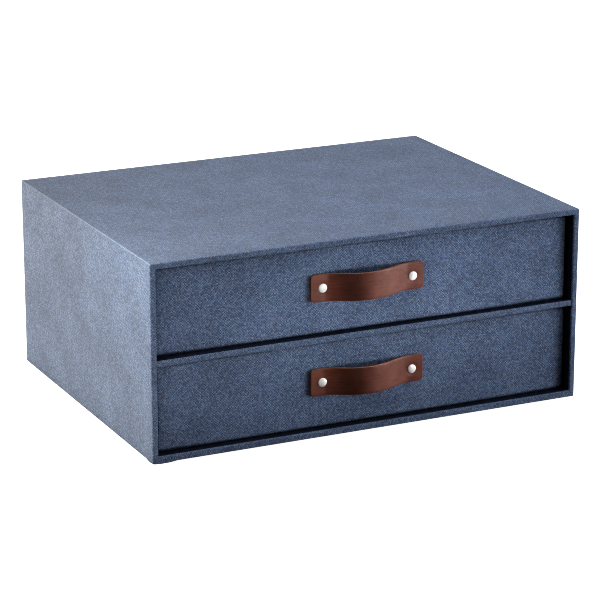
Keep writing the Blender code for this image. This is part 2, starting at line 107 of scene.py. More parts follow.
def box_ring(u0, u1, v0, v1, radius, outer, steps, along_u, along_v, wear_and_highlight=(1.0, 1.0, 1.0, 1.0)):
    """A rounded rectangle, anticlockwise from the right side's upper end.

    Returns its points (u, v, edge) and, for each segment, the cloth's girth
    coordinate at its two ends.  outer is (u0, u1, v0, v1, radius) of the
    outermost ring, so that the weave lines up from ring to ring.  The last
    argument is how rubbed each corner is, from the upper right one on; a
    high value there also stands for a painted highlight along that edge.
    """
    a0, a1, b0, b1, r = outer
    bend = math.pi * r / 2
    left_top = (a0 + r) - bend
    low_left = left_top - (b1 - b0 - 2 * r) - bend
    right_low = low_left - (a1 - a0 - 2 * r) - bend

    def s_top(u): return u
    def s_left(v): return left_top - ((b1 - r) - v)
    def s_low(u): return low_left - (u - (a0 + r))
    def s_right(v): return right_low - (v - (b0 + r))

    points, spans = [], []
    corners = (
        (u1 - radius, v1 - radius, 0, s_right(v1 - radius), s_top(u1 - radius)),
        (u0 + radius, v1 - radius, 90, s_top(u0 + radius), s_left(v1 - radius)),
        (u0 + radius, v0 + radius, 180, s_left(v0 + radius), s_low(u0 + radius)),
        (u1 - radius, v0 + radius, 270, s_low(u1 - radius), s_right(v0 + radius)),
    )
    sides = (along_u, along_v, along_u, along_v)
    piece = math.pi * radius / 2 / steps
    for n, (cu, cv, start, s_in, s_out) in enumerate(corners):
        for i, (u, v) in enumerate(arc(cu, cv, radius, start, start + 90, steps)):
            points.append((u, v, wear_and_highlight[n] * math.sin(math.pi * i / steps)))
            if i < steps:
                if i < steps / 2:
                    spans.append((s_in - i * piece, s_in - (i + 1) * piece))
                else:
                    spans.append((s_out + (steps - i) * piece, s_out + (steps - i - 1) * piece))
        # the straight side up to the next corner
        nu, nv = corners[(n + 1) % 4][:2]
        begin = points[-1]
        following = (n + 1) % 4
        angle = math.radians(corners[following][2])
        end = (nu + radius * math.cos(angle), nv + radius * math.sin(angle))
        s_end = corners[following][3]
        count = sides[n]
        for k in range(count):
            spans.append((lerp(s_out, s_end, k / count), lerp(s_out, s_end, (k + 1) / count)))
            if k:
                points.append((lerp(begin[0], end[0], k / count), lerp(begin[1], end[1], k / count), 0.0))
    return points, spans


def sweep(name, stations, rings, body, turned, deep, shape=None):
    """Joins rings of points by quads, with the weave's map in millimetres.

    stations holds (lengthwise coordinate, edge) for each ring.  turned is
    True where the slub threads run round the girth and not along the profile.
    deep(x, y, z) gives the painted shade at a point, on cloth that lies in shade.
    """
    data = bmesh.new()
    uv = data.loops.layers.uv.new("weave")
    edge = data.verts.layers.float.new("edge")
    painted_shade = data.verts.layers.float.new("deep")
    grid = []
    for (t, ring_edge, _), (points, _) in zip(stations, rings):
        row = []
        for p in points:
            v = data.verts.new(p[:3])
            v[edge] = max(p[3] * ring_edge[1], ring_edge[0])
            v[painted_shade] = deep(*p[:3])
            row.append(v)
        grid.append(row)
    count = len(grid[0])
    total = len(grid)
    for i in range(total):
        k = (i + 1) % total
        t0, t1 = stations[i][0], stations[k][0]
        if k == 0:
            t1 = t0 + 1.0
        spans0, spans1 = rings[i][1], rings[k][1]
        for j in range(count):
            m = (j + 1) % count
            face = data.faces.new((grid[i][j], grid[i][m], grid[k][m], grid[k][j]))
            face.material_index = stations[i][2]
            places = ((spans0[j][0], t0), (spans0[j][1], t0), (spans1[j][1], t1), (spans1[j][0], t1))
            for loop, (s, t) in zip(face.loops, places):
                loop[uv].uv = (s, t) if turned else (t, s)
    if shape:
        for v in data.verts:
            shape(v)
    return to_object(name, data, body)


# ------------------------------------------------------------------- the case
ARC = 7


def case_stations():
    """Stations round the cloth's section: ((inset, y, inner, edge, corner wear), lengthwise coordinate, number of
    stations on the outer face).
    """
    out = []
    r, ri, c, deep = CASE_R, INNER_R, CANVAS, WALL
    turn = FRONT + TURN_IN

    def add(points, inner, edges=None, ring=1.0):
        for i, (a, b) in enumerate(points):
            e = edges[i] if edges else 0.0
            out.append([a, b, inner, e, ring])

    bump = [math.sin(math.pi * i / ARC) for i in range(ARC + 1)]
    add([(BACK_TURN, BACK)], 0)
    add(arc(r, BACK - r, r, 90, 180, ARC), 0, [0.25 * e for e in bump])
    long = 42
    add([(0.0, lerp(BACK - r, FRONT + r, k / long)) for k in range(1, long)], 0)
    add(arc(r, FRONT + r, r, 180, 270, ARC), 0, [0.15 * e for e in bump])
    add(arc(deep - ri, FRONT + ri, ri, 270, 360, ARC), 1, None, 0.0)
    add([(deep, lerp(FRONT + ri, turn, k / 2)) for k in (1, 2)], 1, None, 0.0)
    visible = len(out)
    add([(deep - c, turn)], 1, None, 0.0)
    add(arc(deep - ri, FRONT + ri, ri - c, 360, 270, ARC), 1, None, 0.0)
    add(arc(r, FRONT + r, r - c, 270, 180, ARC), 0, None, 0.0)
    add(arc(r, BACK - r, r - c, 180, 90, ARC), 0, None, 0.0)
    add([(BACK_TURN, BACK - c)], 0, None, 0.0)
    # lengthwise coordinate: equal to y on the long outer faces
    place = [0.0]
    for p, q in zip(out, out[1:]):
        place.append(place[-1] - math.hypot(q[0] - p[0], q[1] - p[1]))
    first_long = next(i for i, p in enumerate(out) if p[0] < 1e-6 and abs(p[1] - (BACK - r)) < 1e-6)
    shift = out[first_long][1] - place[first_long]
    return [(p, place[i] + shift, visible) for i, p in enumerate(out)]


def case_shape(v):
    """Small departures of the real wrap from flat planes and straight edges."""
    x, y, z = v.co
    n = noise.noise(Vector((x * 0.021, y * 0.021, z * 0.021)))
    ripple = noise.noise(Vector((x * 0.09 + 7, y * 0.09, z * 0.09)))
    half = CASE_W / 2
    outside = min(half - abs(x), z - CASE_Z0, CASE_Z1 - z, y - FRONT) < 0.05
    if not outside:
        return
    push = 0.10 * n + 0.035 * ripple
    if CASE_Z1 - z < 0.05:
        sag = 0.20 * (1 - (x / half) ** 2) * smooth_step(20.0, 124.0, y)
        v.co.z += push - sag
    elif half - abs(x) < 0.05:
        v.co.x += math.copysign(push, x)
    elif y - FRONT < 0.05:
        v.co.y -= 0.5 * push
    # the folded corners are softer than the edges
    for side in (-1, 1):
        for z_end, way in ((CASE_Z0, 1), (CASE_Z1, -1)):
            if (side, way) == (-1, -1):
                continue
            soft = smooth_step(3.2, 0.0, half - side * x) * smooth_step(3.2, 0.0, way * (z - z_end))
            soft *= smooth_step(6.0, 0.0, y - FRONT)
            v.co.x -= side * 0.55 * soft
            v.co.z += way * 0.55 * soft
    # the folded cloth stands out a little at the lower left front corner
    swell = smooth_step(16.0, 11.5, x + half) * smooth_step(14.0, 5.0, y - FRONT) * smooth_step(7.0, 1.0, z - CASE_Z0)
    v.co.z -= 0.78 * swell
    v.co.x -= 0.30 * swell * smooth_step(6.0, 0.0, x + half)


def case_painted_shade(x, y, z):
    """Painted shade: high on the cloth turned into the bays, where shade falls, and 0 outside."""
    within = min(CASE_W / 2 - abs(x), z - CASE_Z0, CASE_Z1 - z)
    return 0.8 * smooth_step(0.5, 1.3, y - FRONT) * (within > 2.5)


def build_case_wrap():
    half = CASE_W / 2
    outer = (-half, half, CASE_Z0, CASE_Z1, CASE_R)
    stations, rings = [], []
    for (inset, y, inner, e, ring), t, visible in case_stations():
        radius = max(CASE_R - inset, 0.4)
        # the upper left edge gets a painted highlight on top of its wear
        points, spans = box_ring(
            -half + inset, half - inset,
            CASE_Z0 + inset + EXTRA_FLOOR * inner, CASE_Z1 - inset,
            radius, outer, 6, 56, 24, wear_and_highlight=(0.2, 1.0, 0.2, 0.2))
        rings.append(([(u, y, v, k) for u, v, k in points], spans))
        stations.append((t, (e, ring), 0))
    obj = sweep("case_wrap_canvas", stations, rings, "case", turned=False,
                deep=case_painted_shade, shape=case_shape)
    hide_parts("case_wrap_cloth")
    return obj


def flat_strip(name, outline, x0, x1, steps, body, deep, shape=None):
    """A profile in (y, z, edge) extruded along X, closed at both ends."""
    data = bmesh.new()
    uv = data.loops.layers.uv.new("weave")
    edge = data.verts.layers.float.new("edge")
    painted_shade = data.verts.layers.float.new("deep")
    length = [0.0]
    for p, q in zip(outline, outline[1:]):
        length.append(length[-1] + math.hypot(q[0] - p[0], q[1] - p[1]))
    columns = []
    for k in range(steps + 1):
        x = lerp(x0, x1, k / steps)
        column = []
        for y, z, e in outline:
            v = data.verts.new((x, y, z))
            v[edge] = e
            # painted shade, as given by deep
            v[painted_shade] = deep(x, y, z)
            column.append(v)
        columns.append(column)
    count = len(outline)
    for k in range(steps):
        xa, xb = lerp(x0, x1, k / steps), lerp(x0, x1, (k + 1) / steps)
        for j in range(count):
            m = (j + 1) % count
            face = data.faces.new((columns[k][j], columns[k][m], columns[k + 1][m], columns[k + 1][j]))
            tm = length[m] if m else length[j] + 1.0
            for loop, place in zip(face.loops, ((xa, length[j]), (xa, tm), (xb, tm), (xb, length[j]))):
                loop[uv].uv = place
    for column, x in ((columns[0], x0), (columns[-1], x1)):
        face = data.faces.new(column)
        for loop in face.loops:
            loop[uv].uv = (loop.vert.co.y, loop.vert.co.z)
    if shape:
        for v in data.verts:
            shape(v)
    return to_object(name, data, body)


def build_divider_cloth():
    r, c = INNER_R, CANVAS
    turn = FRONT + TURN_IN
    steps = 6
    bump = [math.sin(math.pi * i / steps) for i in range(steps + 1)]
    outline = []
    outline += [(turn, DIVIDER_Z0, 0.0)]
    outline += [(y, z, 0.1 * e) for (y, z), e in zip(arc(DIVIDER_FRONT + r, DIVIDER_Z0 + r, r, 270, 180, steps), bump)]
    outline += [(y, z, 0.1 * e) for (y, z), e in zip(arc(DIVIDER_FRONT + r, DIVIDER_Z1 - r, r, 180, 90, steps), bump)]
    outline += [(turn, DIVIDER_Z1, 0.0), (turn, DIVIDER_Z1 - c, 0.0)]
    outline += [(y, z, 0.0) for y, z in arc(DIVIDER_FRONT + r, DIVIDER_Z1 - r, r - c, 90, 180, steps)]
    outline += [(y, z, 0.0) for y, z in arc(DIVIDER_FRONT + r, DIVIDER_Z0 + r, r - c, 180, 270, steps)]
    outline += [(turn, DIVIDER_Z0 + c, 0.0)]

    def shape(v):
        if v.co.y < DIVIDER_FRONT + 0.05:
            v.co.y += 0.06 * noise.noise(Vector((v.co.x * 0.06, 3.0, v.co.z * 0.2)))
        v.co.z += 0.35 * v.co.x / BAY_X - 0.05      # it isn't quite level

    # painted shade on the cloth turned in behind the divider's front edge
    def deep(x, y, z):
        return 0.8 * smooth_step(0.5, 1.2, y - DIVIDER_FRONT)

    obj = flat_strip("divider_canvas", outline, -BAY_X + GAP, BAY_X - GAP, 60, "case", deep, shape)
    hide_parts("divider_cloth")
    return obj


def panel(name, u0, u1, v0, v1, w0, w1, place, body, radius=0.12, nu=40, nv=18, shape=None):
    """A thin sheet w0..w1 over the rectangle u, v, with its edges eased."""
    data = bmesh.new()
    uv = data.loops.layers.uv.new("weave")
    edge = data.verts.layers.float.new("edge")
    levels = [(w0, radius), (w0 + radius * 0.3, radius * 0.3), (w0 + radius, 0.0),
              (w1 - radius, 0.0), (w1 - radius * 0.3, radius * 0.3), (w1, radius)]

    def rim(w, inset):
        row = []
        a0, a1, b0, b1 = u0 + inset, u1 - inset, v0 + inset, v1 - inset
        row += [(lerp(a0, a1, k / nu), b0) for k in range(nu)]
        row += [(a1, lerp(b0, b1, k / nv)) for k in range(nv)]
        row += [(lerp(a1, a0, k / nu), b1) for k in range(nu)]
        row += [(a0, lerp(b1, b0, k / nv)) for k in range(nv)]
        return [data.verts.new(place(a, b, w)) for a, b in row], row

    made = [rim(w, inset) for w, inset in levels]
    for (low, at_low), (high, at_high) in zip(made, made[1:]):
        for j in range(len(low)):
            m = (j + 1) % len(low)
            face = data.faces.new((low[j], low[m], high[m], high[j]))
            for loop, at in zip(face.loops, (at_low[j], at_low[m], at_high[m], at_high[j])):
                loop[uv].uv = at
    for (ring, at), inset in ((made[0], radius), (made[-1], radius)):
        w = w0 if ring is made[0][0] else w1
        a0, a1, b0, b1 = u0 + inset, u1 - inset, v0 + inset, v1 - inset
        table = {}
        for j, (a, b) in enumerate(at):
            table[(round(a, 4), round(b, 4))] = ring[j]
        grid = []
        for q in range(nv + 1):
            row = []
            for k in range(nu + 1):
                a, b = lerp(a0, a1, k / nu), lerp(b0, b1, q / nv)
                key = (round(a, 4), round(b, 4))
                row.append((table.get(key) or data.verts.new(place(a, b, w)), (a, b)))
            grid.append(row)
        for q in range(nv):
            for k in range(nu):
                four = (grid[q][k], grid[q][k + 1], grid[q + 1][k + 1], grid[q + 1][k])
                face = data.faces.new([f[0] for f in four])
                for loop, f in zip(face.loops, four):
                    loop[uv].uv = f[1]
    for v in data.verts:
        v[edge] = 0.0
        if shape:
            shape(v)
    return to_object(name, data, body)


# ------------------------------------------------------------------ a drawer
def drawer_stations():
    out = []
    r, ri, c = DRAWER_R, INNER_R, CANVAS
    top, deep = DRAWER_H, DRAWER_WALL

    def add(points, edges=None, ring=1.0):
        for i, (a, b) in enumerate(points):
            out.append([a, b, edges[i] if edges else 0.0, ring])

    bump = [math.sin(math.pi * i / ARC) for i in range(ARC + 1)]
    add([(DRAWER_UNDER, 0.0)])
    add([(lerp(DRAWER_UNDER, r, 0.5), 0.0)])
    add(arc(r, r, r, 270, 180, ARC))
    add([(0.0, lerp(r, top - r, k / 10)) for k in (0.2, 0.5, 1, 2, 3, 4, 5, 6, 7, 8, 9)])
    add(arc(r, top - r, r, 180, 90, ARC), [0.25 * e for e in bump])
    inner_arc = arc(deep - ri, top - ri, ri, 90, 0, ARC)
    add([p for p in inner_arc if p[0] > r + 1e-6 or p is not inner_arc[0]], [0.15 * e for e in bump], 0.2)
    add([(deep, lerp(top - ri, top - DRAWER_TURN, k / 3)) for k in range(1, 4)], None, 0.0)
    add([(deep - c, top - DRAWER_TURN)], None, 0.0)
    add(arc(deep - ri, top - ri, ri - c, 0, 90, ARC), None, 0.0)
    add(arc(r, top - r, r - c, 90, 180, ARC), None, 0.0)
    add(arc(r, r, r - c, 180, 270, ARC), None, 0.0)
    add([(DRAWER_UNDER, c)], None, 0.0)
    clean = []
    for p in out:
        if not clean or math.dist(p[:2], clean[-1][:2]) > 1e-4:
            clean.append(p)
    place = [0.0]
    for p, q in zip(clean, clean[1:]):
        place.append(place[-1] + math.hypot(q[0] - p[0], q[1] - p[1]))
    first = next(i for i, p in enumerate(clean) if p[0] < 1e-6)
    shift = clean[first][1] - place[first]
    return [(p, place[i] + shift) for i, p in enumerate(clean)]


def drawer_shape(z0, seed, centre_x):
    def shape(v):
        x, y, z = v.co
        x -= centre_x
        half = DRAWER_W / 2
        n = noise.noise(Vector((x * 0.02 + seed, y * 0.02, z * 0.03)))
        fine = noise.noise(Vector((x * 0.11 + seed, y * 0.11, z * 0.11)))
        push = 0.10 * n + 0.03 * fine
        if y - DRAWER_FRONT < 0.02:
            v.co.y -= 0.7 * push
        elif DRAWER_BACK - y < 0.02:
            v.co.y += 0.3 * push
        elif half - abs(x) < 0.02:
            v.co.x += math.copysign(0.5 * push, x)
    return shape


def build_drawer_wrap(prefix, seed):
    z0 = DRAWER_Z[prefix]
    half = DRAWER_W / 2
    outer = (-half, half, DRAWER_FRONT, DRAWER_BACK, DRAWER_R)
    stations, rings = [], []
    for (inset, height, e, ring), t in drawer_stations():
        radius = max(DRAWER_R - inset, 0.4)
        points, spans = box_ring(-half + inset, half - inset,
                                 DRAWER_FRONT + inset, DRAWER_BACK - inset,
                                 radius, outer, 6, 54, 30, wear_and_highlight=(0.2, 0.2, 0.2, 0.2))
        rings.append(([(u + DRAWER_X[prefix], v, z0 + height, k) for u, v, k in points], spans))
        stations.append((t, (e, ring), 0))
    # its deep attribute is painted shade along the drawer's lower edge, taller towards the ends
    obj = sweep(prefix + "_drawer_canvas", stations, rings, prefix + "_drawer",
                turned=True, deep=lambda x, y, z: 1 - smooth_step(0.7, 2.7, z - z0 - 0.8 * smooth_step(95.0, 158.0, abs(x))),
                shape=drawer_shape(z0, seed, DRAWER_X[prefix]))
    # the holes that the rivets pass through
    cutters = []
    for sign in (-1, 1):
        data = bmesh.new()
        bmesh.ops.create_cone(
            data, cap_ends=True, segments=24, radius1=1.8 * MM, radius2=1.8 * MM, depth=8 * MM,
            matrix=Matrix.Translation(((HANDLE_X + sign * RIVETS_APART / 2) * MM,
                                       DRAWER_FRONT * MM, (z0 + HANDLE_UP) * MM))
            @ Matrix.Rotation(math.pi / 2, 4, "X"))
        mesh = bpy.data.meshes.new("punch")
        data.to_mesh(mesh)
        data.free()
        cutter = bpy.data.objects.new("punch", mesh)
        bpy.context.collection.objects.link(cutter)
        cut = obj.modifiers.new("hole", "BOOLEAN")
        cut.operation, cut.solver, cut.object = "DIFFERENCE", "EXACT", cutter
        cutters.append(cutter)
    bpy.context.view_layer.update()
    graph = bpy.context.evaluated_depsgraph_get()
    cut_mesh = bpy.data.meshes.new_from_object(obj.evaluated_get(graph), preserve_all_data_layers=True, depsgraph=graph)
    obj.modifiers.clear()
    old = obj.data
    obj.data = cut_mesh
    bpy.data.meshes.remove(old)
    cut_mesh.name = obj.name
    for cutter in cutters:
        mesh = cutter.data
        bpy.data.objects.remove(cutter, do_unlink=True)
        bpy.data.meshes.remove(mesh)
    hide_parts(prefix + "_wrap_cloth")
    return obj


def strap_lift(x):
    """Stand-off of the strap's hidden face at x from its middle, and its slope."""
    half = RIVETS_APART / 2 - STRAP_CLAMPED

    def lift(p):
        share = min(max((p + half) / (2 * half), 0.0), 1.0)
        skewed = share + BOW_SKEW * share * (1 - share) ** 3
        return STRAP_BOW * max(math.sin(math.pi * skewed), 0.0) ** BOW_POWER

    def eased(p):
        return sum((1 - abs(k) / 9) * lift(p + 0.42 * k) for k in range(-8, 9)) / 9

    return eased(x), (eased(x + 0.25) - eased(x - 0.25)) / 0.5


def build_strap(prefix, seed):
    z0 = DRAWER_Z[prefix] + HANDLE_UP
    half_l, half_h = STRAP_L / 2, STRAP_H / 2
    ease = 0.42
    xs = [-half_l + ease * (1 - math.cos(math.radians(90 * i / 4))) for i in range(4)]
    inner = [-half_l + ease + (2 * half_l - 2 * ease) * i / 118 for i in range(119)]
    xs += inner
    xs += [half_l - ease * (1 - math.cos(math.radians(90 * i / 4))) for i in range(3, -1, -1)]
    data = bmesh.new()
    uv = data.loops.layers.uv.new("weave")
    edge = data.verts.layers.float.new("edge")
    strap_painted_shade = data.verts.layers.float.new("deep")
    across = 20
    rings = []
    for x in xs:
        lift, slope = strap_lift(x)
        along = Vector((1.0, slope)).normalized()
        out = Vector((-along.y, along.x))
        from_end = half_l - abs(x)
        hh = half_h
        if from_end < STRAP_CORNER:
            gone = STRAP_CORNER - from_end
            hh += math.sqrt(max(STRAP_CORNER ** 2 - gone ** 2, 0.0)) - STRAP_CORNER
        thin = ease - math.sqrt(max(ease ** 2 - max(ease - from_end, 0.0) ** 2, 0.0))
        t = STRAP_T - 2 * thin
        e = min(ease, t / 2 - 0.02)
        section = []
        # hidden face from -h to +h, round the corner, outer face back, round the corner
        section += [(lerp(-hh + e, hh - e, k / 6), 0.0, 0.0) for k in range(7)]
        section += [(hh - e + e * math.sin(math.radians(a)), e - e * math.cos(math.radians(a)), 1.0) for a in (30, 60, 90)]
        section += [(hh, t / 2, 1.0)]
        section += [(hh - e + e * math.cos(math.radians(a)), t - e + e * math.sin(math.radians(a)), 1.0 - a / 120) for a in (0, 30, 60)]
        section += [(lerp(hh - e, -hh + e, k / across), t, 0.0) for k in range(across + 1)]
        section += [(-hh + e - e * math.sin(math.radians(a)), t - e + e * math.cos(math.radians(a)), 0.25 + a / 120) for a in (30, 60, 90)]
        section += [(-hh, t / 2, 1.0)]
        section += [(-hh + e - e * math.cos(math.radians(a)), e - e * math.sin(math.radians(a)), 1.0) for a in (0, 30, 60)]
        ring = []
        for h, w, raw in section:
            depth = w + thin
            # pressed in round the rivets, and slightly cupped along the bow
            for side in (-1, 1):
                d = math.hypot(x - side * RIVETS_APART / 2, h)
                if w > 0.6 * t:
                    depth -= 0.34 * (1 - smooth_step(3.1, 5.2, d))
            if w > 0.6 * t:
                depth += 0.05 * noise.noise(Vector((x * 0.22 + seed, h * 0.22, 1.0)))
                depth -= 0.10 * smooth_step(half_h - 1.6, half_h, abs(h))
            hz = h + 0.05 * noise.noise(Vector((x * 0.12, seed, 4.0 if h > 0 else 9.0))) * abs(h) / half_h
            px = x + out.x * depth
            py = lift + GAP + out.y * depth
            v = data.verts.new((HANDLE_X + px, DRAWER_FRONT - py, z0 + hz))
            v[edge] = max(raw * (0.35 + 0.65 * smooth_step(0.0, 0.9, from_end)),
                          0.35 * smooth_step(0.5, 0.0, from_end))
            # painted shade on the ends and on the hidden face
            v[strap_painted_shade] = max(smooth_step(0.45, 0.15, from_end) * (w < 0.8 * STRAP_T), float(w < 0.25 * t))
            ring.append((v, (x, h if w > 0.5 * t else 40 + h)))
        rings.append(ring)
    for first, second in zip(rings, rings[1:]):
        for i in range(len(first)):
            j = (i + 1) % len(first)
            four = (first[i], first[j], second[j], second[i])
            face = data.faces.new([f[0] for f in four])
            for loop, f in zip(face.loops, four):
                loop[uv].uv = f[1]
    for ring in (rings[0], rings[-1]):
        face = data.faces.new([f[0] for f in ring])
        for loop, f in zip(face.loops, ring):
            loop[uv].uv = f[1]
    obj = to_object(prefix + "_strap_leather", data, prefix + "_drawer", smooth=50)
    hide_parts(prefix + "_handle_strap")
    return obj


def lathe(name, profile, x, y, z, body, sides=64, smooth=40.0):
    """Turns closed (radius, distance in front of y) points about an axis along Y."""
    data = bmesh.new()
    uv = data.loops.layers.uv.new("weave")
    rings = []
    for radius, ahead in profile:
        if radius < 1e-6:
            rings.append([data.verts.new((x, y - ahead, z))])
        else:
            rings.append([data.verts.new((x + radius * math.cos(2 * math.pi * i / sides), y - ahead,
                                          z + radius * math.sin(2 * math.pi * i / sides)))
                          for i in range(sides)])
    solid = len(rings[0]) == 1
    pairs = list(zip(rings, rings[1:])) if solid else list(zip(rings, rings[1:] + rings[:1]))
    for first, second in pairs:
        for i in range(sides):
            j = (i + 1) % sides
            if len(first) == 1:
                face = data.faces.new((first[0], second[i], second[j]))
            elif len(second) == 1:
                face = data.faces.new((first[i], second[0], first[j]))
            else:
                face = data.faces.new((first[i], second[i], second[j], first[j]))
            for loop in face.loops:
                loop[uv].uv = (loop.vert.co.x, loop.vert.co.z)
    return to_object(name, data, body, smooth=smooth)


def build_rivets(prefix):
    z = DRAWER_Z[prefix] + HANDLE_UP
    under = GAP + STRAP_T + GAP - 0.22      # the head is drawn into the leather
    lining_face = SKIN + 2.2 + GAP + 0.4
    washer_front = lining_face + GAP
    thick = 0.8
    tail = washer_front + thick + GAP
    rs, rh, h = 1.5, 3.2, 1.2
    dome = []
    for i in range(0, 11):
        a = math.radians(8.6 * i)
        dome.append((rh * math.sin(a) ** 1.0, under + 0.22 + (h - 0.22) * math.cos(a) ** 1.15))
    profile = dome + [(rh, under + 0.22), (rh - 0.03, under + 0.10), (rh - 0.12, under), (rs, under)]
    profile += [(rs, -tail), (1.5 * rs, -tail), (1.62 * rs, -tail - 0.12),
                (1.6 * rs, -tail - 0.32), (1.35 * rs, -tail - 0.55), (1.0 * rs, -tail - 0.70),
                (0.5 * rs, -tail - 0.78), (0.0, -tail - 0.8)]
    ring = [(1.8, -washer_front), (3.9, -washer_front), (4.0, -washer_front - 0.1),
            (4.0, -washer_front - 0.45), (3.85, -washer_front - 0.66), (3.6, -washer_front - thick),
            (2.3, -washer_front - thick), (1.95, -washer_front - 0.7), (1.8, -washer_front - 0.5)]
    made = []
    for side, sign in (("left", -1), ("right", 1)):
        x = HANDLE_X + sign * RIVETS_APART / 2
        rivet = lathe(f"{prefix}_rivet_{side}_domed", profile, x, DRAWER_FRONT, z, prefix + "_drawer")
        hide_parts(f"{prefix}_rivet_{side}")
        washer = lathe(f"{prefix}_washer_{side}_eased", ring, x, DRAWER_FRONT, z, prefix + "_drawer")
        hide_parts(f"{prefix}_rivet_washer_{side}")
        for piece in (rivet, washer):
            made.append(piece)
    return made


# ------------------------------------------------------------------ materials
def srgb(r, g, b):
    """Linear colour of an 8-bit display colour."""
    def one(c):
        c /= 255.0
        return c / 12.92 if c <= 0.04045 else ((c + 0.055) / 1.055) ** 2.4
    return (one(r), one(g), one(b))


class Net:
    """Short ways to write a node tree.  A value may be a number or a socket."""

    def __init__(self, name):
        self.material = bpy.data.materials.new(name)
        self.material.use_nodes = True
        self.tree = self.material.node_tree
        self.tree.nodes.clear()
        self.out = self.node("ShaderNodeOutputMaterial")
        self.shader = self.node("ShaderNodeBsdfPrincipled")
        self.tree.links.new(self.shader.outputs[0], self.out.inputs[0])

    def node(self, kind, **settings):
        made = self.tree.nodes.new(kind)
        for key, value in settings.items():
            setattr(made, key, value)
        return made

    def put(self, socket, value):
        if isinstance(value, bpy.types.NodeSocket):
            self.tree.links.new(value, socket)
        elif isinstance(value, (tuple, list)):
            socket.default_value = (*value, 1.0) if len(value) == 3 and len(socket.default_value) == 4 else value
        else:
            socket.default_value = value

    def math(self, operation, a, b=None, c=None, clamp=False):
        made = self.node("ShaderNodeMath", operation=operation, use_clamp=clamp)
        for socket, value in zip(made.inputs, (a, b, c)):
            if value is not None:
                self.put(socket, value)
        return made.outputs[0]

    def add(self, a, b): return self.math("ADD", a, b)
    def sub(self, a, b): return self.math("SUBTRACT", a, b)
    def mul(self, a, b): return self.math("MULTIPLY", a, b)

    def vec(self, x, y, z=0.0):
        made = self.node("ShaderNodeCombineXYZ")
        for socket, value in zip(made.inputs, (x, y, z)):
            self.put(socket, value)
        return made.outputs[0]

    def split(self, vector):
        made = self.node("ShaderNodeSeparateXYZ")
        self.put(made.inputs[0], vector)
        return made.outputs[0], made.outputs[1], made.outputs[2]

    def noise(self, vector, scale, detail=2.0, rough=0.5, dims="3D", out="Fac"):
        made = self.node("ShaderNodeTexNoise", noise_dimensions=dims)
        self.put(made.inputs["Vector"], vector)
        made.inputs["Scale"].default_value = scale
        made.inputs["Detail"].default_value = detail
        made.inputs["Roughness"].default_value = rough
        return made.outputs[out]

    def random(self, vector, dims="3D", out="Value"):
        made = self.node("ShaderNodeTexWhiteNoise", noise_dimensions=dims)
        self.put(made.inputs["Vector"], vector)
        return made.outputs[out]

    def mix(self, share, a, b, blend="MIX"):
        made = self.node("ShaderNodeMix", data_type="RGBA", blend_type=blend, clamp_factor=True)
        self.put(made.inputs[0], share)
        self.put(made.inputs[6], a)
        self.put(made.inputs[7], b)
        return made.outputs[2]

    def mix_value(self, share, a, b):
        made = self.node("ShaderNodeMix", data_type="FLOAT", clamp_factor=True)
        self.put(made.inputs[0], share)
        self.put(made.inputs[2], a)
        self.put(made.inputs[3], b)
        return made.outputs[0]

    def range(self, value, a, b, c, d, kind="LINEAR"):
        made = self.node("ShaderNodeMapRange", interpolation_type=kind)
        for socket, v in zip(made.inputs, (value, a, b, c, d)):
            self.put(socket, v)
        return made.outputs[0]

    def scale_colour(self, colour, by):
        made = self.node("ShaderNodeVectorMath", operation="SCALE")
        self.put(made.inputs[0], colour)
        self.put(made.inputs["Scale"], by)
        return made.outputs[0]

    def bump(self, height, distance, strength=1.0):
        made = self.node("ShaderNodeBump")
        self.put(made.inputs["Height"], height)
        made.inputs["Distance"].default_value = distance
        made.inputs["Strength"].default_value = strength
        self.tree.links.new(made.outputs[0], self.shader.inputs["Normal"])
        return made

    def uv(self):
        return self.node("ShaderNodeUVMap", uv_map="weave").outputs[0]

    def attribute(self, name):
        return self.node("ShaderNodeAttribute", attribute_name=name).outputs["Fac"]


PITCH_U, PITCH_V = 0.99, 0.95         # thread spacing, mm
SHIVER = 1.3                          # how unevenly the threads lie, mm


